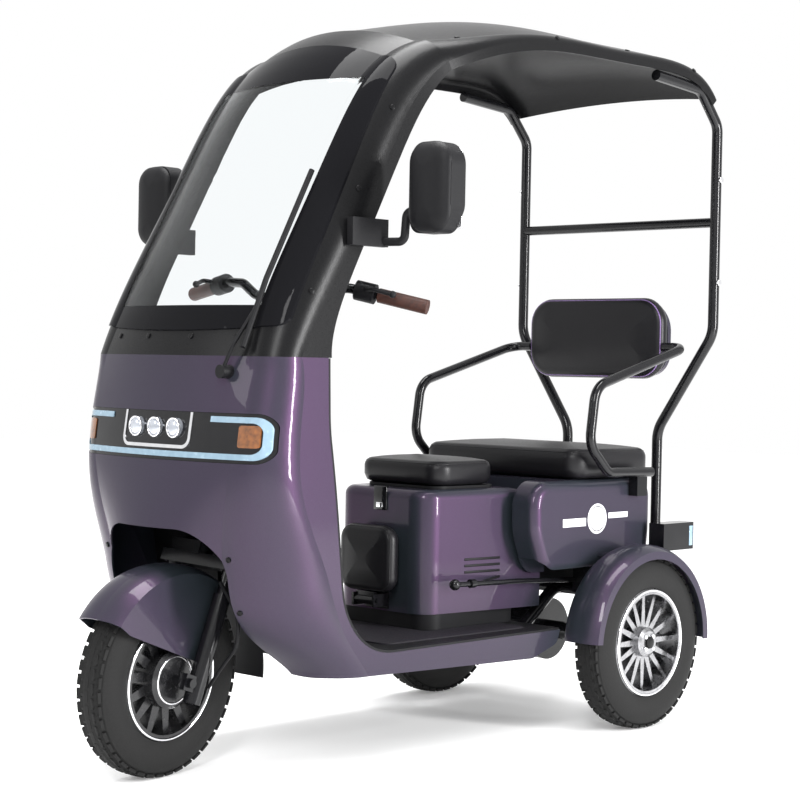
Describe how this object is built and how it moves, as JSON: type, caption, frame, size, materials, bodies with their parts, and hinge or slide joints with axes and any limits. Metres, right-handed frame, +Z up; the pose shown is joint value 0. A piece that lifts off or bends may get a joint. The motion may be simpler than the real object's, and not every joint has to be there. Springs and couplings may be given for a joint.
{
  "type": "electric tricycle",
  "caption": "Three-wheeled electric vehicle with a roofed open cab, a windshield, a driver seat over a storage box and a rear bench.",
  "frame": {"origin": "on the floor under the middle of the whole vehicle", "axes": "+Z up, -Y is the direction of travel, +X is the rider's left"},
  "size_m": [1.01, 1.7693, 1.6969],
  "materials": {
    "paint": "glossy metallic grey violet",
    "gloss_black": "gloss black plastic",
    "lens": "clear lens",
    "light_strip": "pale blue diffuser",
    "amber": "amber lens",
    "satin_black": "satin black moulded plastic",
    "glass": "clear with a black printed border",
    "matt_black": "grained black plastic",
    "mat": "ribbed black rubber",
    "black_steel": "gloss black powder coat",
    "vinyl": "black vinyl",
    "tyre": "black tyre rubber",
    "black_alloy": "black cast alloy with bright lip",
    "alloy": "machined cast alloy",
    "grip": "brown rubber",
    "chrome": "chrome"
  },
  "bodies": {
    "chassis": {"arch_liner": "matt_black", "armrests": "black_steel", "backrest_pad": "vinyl", "backrest_shell": "paint", "battery_block": "matt_black", "bench_cushion": "vinyl", "chassis_frame": "black_steel", "child_seat_hinge": "black_steel", "dash_hood": "matt_black", "floor_mat": "mat", "footboard": "matt_black", "front_shell": "paint", "lamp_bar": "gloss_black", "lamp_bezel": "chrome", "leg_shield": "matt_black", "light_strip": "light_strip", "mirrors": "matt_black", "projector_lenses": "lens", "rear_axle": "black_steel", "rear_body": "paint", "rear_fenders": "paint", "rear_hoop": "black_steel", "rear_springs": "black_steel", "roof_shell": "satin_black", "seat_box": "paint", "side_lever": "black_steel", "signal_lenses": "amber", "tail_lamps": "gloss_black", "windshield_frame": "satin_black", "windshield_glass": "glass", "wiper": "matt_black"},
    "steering": {"fork": "black_steel", "handlebar": "black_steel", "grips": "grip", "front_fender": "paint", "hand_controls": "matt_black", "front_brake_cable": "matt_black"},
    "front_wheel": {"front_tyre": "tyre", "front_rim": "black_alloy"},
    "rear_wheel_left": {"rear_tyre_left": "tyre", "rear_rim_left": "alloy"},
    "rear_wheel_right": {"rear_tyre_right": "tyre", "rear_rim_right": "alloy"},
    "seat_lid": {"driver_seat": "vinyl", "seat_lid_plate": "matt_black"},
    "child_seat": {"child_seat_pad": "vinyl", "child_seat_arm": "black_steel"}
  },
  "joints": [
    {"name": "steering", "type": "hinge", "parent": "chassis", "child": "steering", "pos_m": [0, -0.64, 0.21], "axis": [0, 0.3453, 0.9385], "range_deg": [-33, 17]},
    {"name": "front_wheel_spin", "type": "hinge", "parent": "steering", "child": "front_wheel", "pos_m": [0.00431, -0.67272, 0.2099], "axis": [0.9903, 0.1306, -0.0481], "continuous": true},
    {"name": "rear_wheel_left_spin", "type": "hinge", "parent": "chassis", "child": "rear_wheel_left", "pos_m": [0.335, 0.553, 0.21], "axis": [1, 0, 0], "continuous": true},
    {"name": "rear_wheel_right_spin", "type": "hinge", "parent": "chassis", "child": "rear_wheel_right", "pos_m": [-0.335, 0.553, 0.21], "axis": [1, 0, 0], "continuous": true},
    {"name": "seat_lid_hinge", "type": "hinge", "parent": "chassis", "child": "seat_lid", "pos_m": [0, 0.262, 0.595], "axis": [-1, 0, 0], "range_deg": [0, 75]},
    {"name": "child_seat_fold", "type": "hinge", "parent": "chassis", "child": "child_seat", "pos_m": [0, -0.055, 0.325], "axis": [1, 0, 0], "range_deg": [0, 88]}
  ]
}
